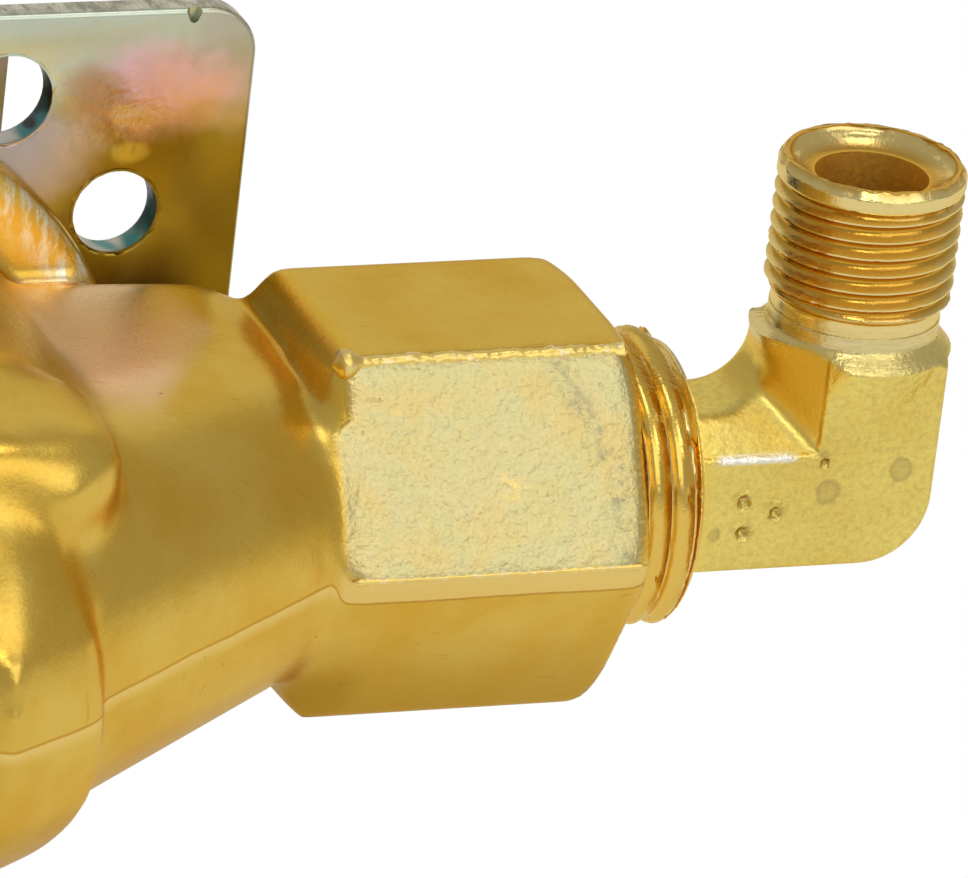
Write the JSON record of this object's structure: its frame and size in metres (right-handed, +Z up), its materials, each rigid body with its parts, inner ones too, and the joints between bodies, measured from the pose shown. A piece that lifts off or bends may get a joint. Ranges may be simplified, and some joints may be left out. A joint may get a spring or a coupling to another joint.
{
  "type": "ice machine water valve",
  "caption": "Solenoid water valve with a forged brass body, hexagonal port ends, elbow outlet, flat bracket and coil, for filling an ice machine.",
  "frame": {"origin": "centre of the bracket's hole pattern, on the bracket's rear face", "axes": "+X along the ports towards the outlet elbow, +Y along the solenoid away from the body, +Z up along the elbow's tube end"},
  "size_m": [0.1106, 0.0941, 0.052],
  "materials": {
    "forged_brass": "forged, satin",
    "elbow_brass": "forged, fine grain",
    "turned_brass": "machined",
    "chromate_steel": "zinc plated with yellow chromate",
    "zinc_steel": "zinc plated",
    "stainless_steel": "drawn",
    "magnetic_steel": "ground",
    "spring_steel": "drawn wire",
    "tinned_brass": "tinned",
    "copper": "enamelled wire and bare ring",
    "black_rubber": "moulded",
    "black_plastic": "moulded",
    "white_plastic": "moulded"
  },
  "bodies": {
    "valve": {"valve_body": "forged_brass", "outlet_elbow": "elbow_brass", "mounting_bracket": "chromate_steel", "bonnet": "turned_brass", "bonnet_o_ring": "black_rubber", "diaphragm": "black_rubber", "diaphragm_spring": "spring_steel", "guide_tube": "stainless_steel", "plunger_spring": "spring_steel", "core_stop": "magnetic_steel", "shading_ring": "copper", "coil_gasket": "black_rubber", "yoke": "zinc_steel", "coil_case": "black_plastic", "coil_bobbin": "white_plastic", "coil_winding": "copper", "terminal_left": "tinned_brass", "terminal_right": "tinned_brass", "coil_washer": "zinc_steel", "coil_nut": "zinc_steel", "inlet_strainer": "stainless_steel", "strainer_ring": "stainless_steel", "flow_washer": "black_rubber"},
    "armature": {"plunger": "magnetic_steel", "plunger_seal": "black_rubber"},
    "insert": {"diaphragm_insert": "white_plastic"}
  },
  "joints": [
    {"name": "plunger_slide", "type": "slide", "parent": "valve", "child": "armature", "axis": [0, 1, 0], "range_m": [0, 0.0025], "stiffness_N_per_m": 60, "springref_m": -0.004, "deforming": ["plunger_spring"]},
    {"name": "insert_lift", "type": "slide", "parent": "valve", "child": "insert", "axis": [0, 1, 0], "range_m": [0, 0.0015], "deforming": ["diaphragm_spring", "diaphragm"]}
  ],
  "couplings": [
    {"joint": "insert_lift", "follows": "plunger_slide", "ratio": 0.6}
  ]
}
